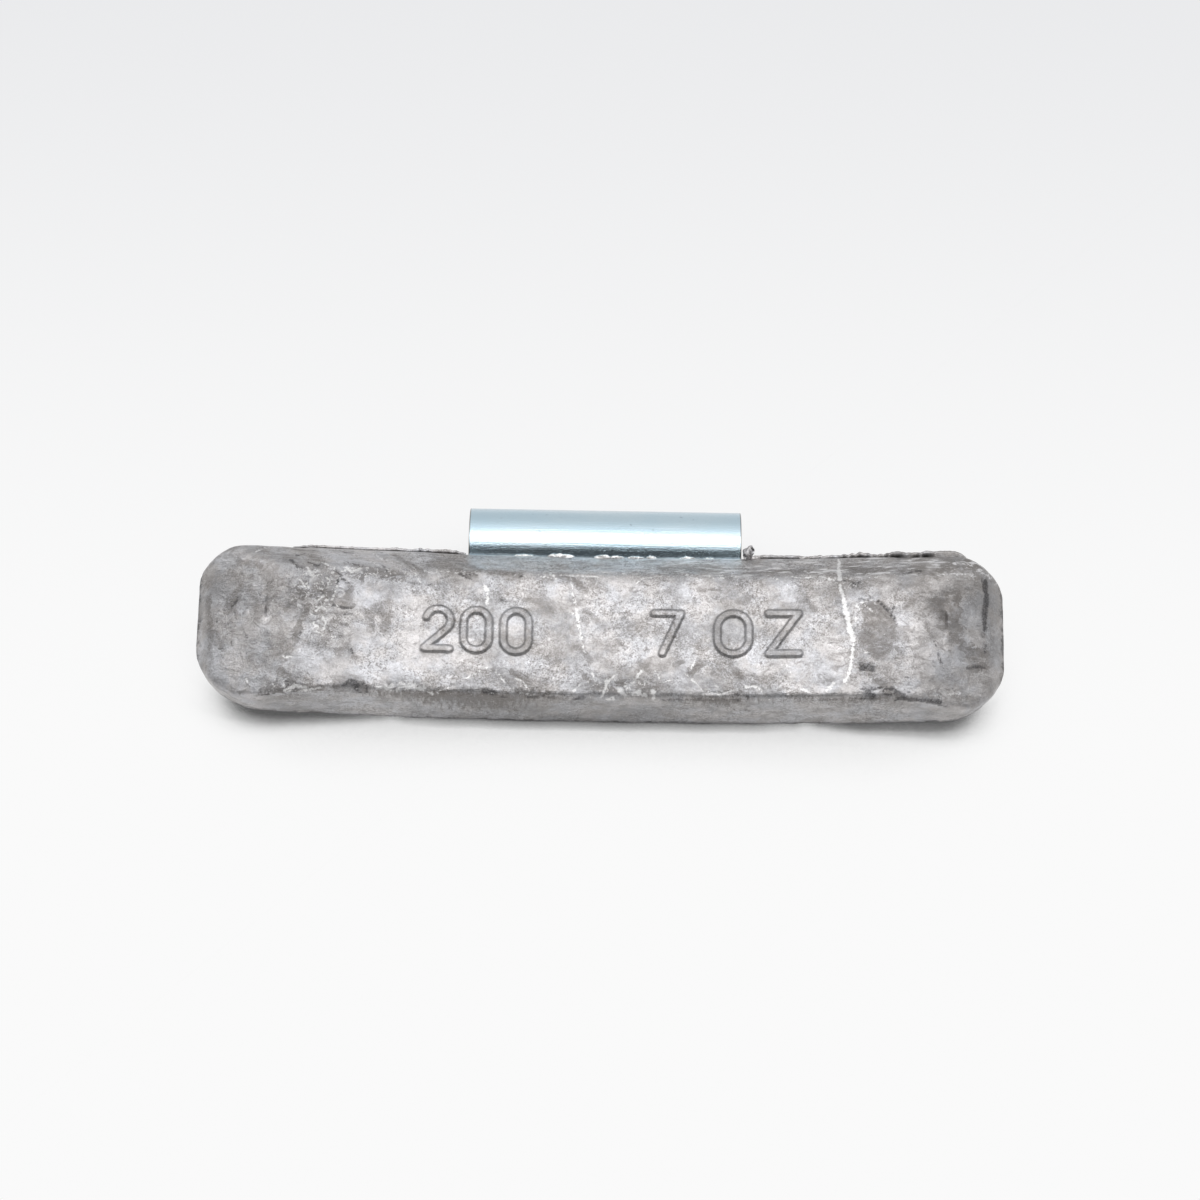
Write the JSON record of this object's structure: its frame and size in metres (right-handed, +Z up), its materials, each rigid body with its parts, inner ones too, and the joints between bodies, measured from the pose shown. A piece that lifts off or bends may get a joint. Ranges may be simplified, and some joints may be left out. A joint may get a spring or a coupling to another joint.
{
  "type": "wheel balance weight",
  "caption": "Curved cast lead bar with bevelled edges and sloping ends, with a sprung steel clip cast into it that hooks over the lip of a wheel rim.",
  "frame": {"origin": "on the surface that the weight lies on, under the middle of its bounding box", "axes": "+X along the bar, +Z up from the surface, -Y towards the bar's lower edge, so that the clip is at +Y"},
  "size_m": [0.105, 0.0316, 0.0164],
  "materials": {
    "cast_lead": "bare cast lead, dull grey, with bright rubbed patches and dark oxide smears",
    "zinc_plated_steel": "bright zinc plating with a blue passivation"
  },
  "bodies": {
    "root": {"lead_body": "cast_lead", "steel_clip": "zinc_plated_steel"}
  },
  "joints": []
}
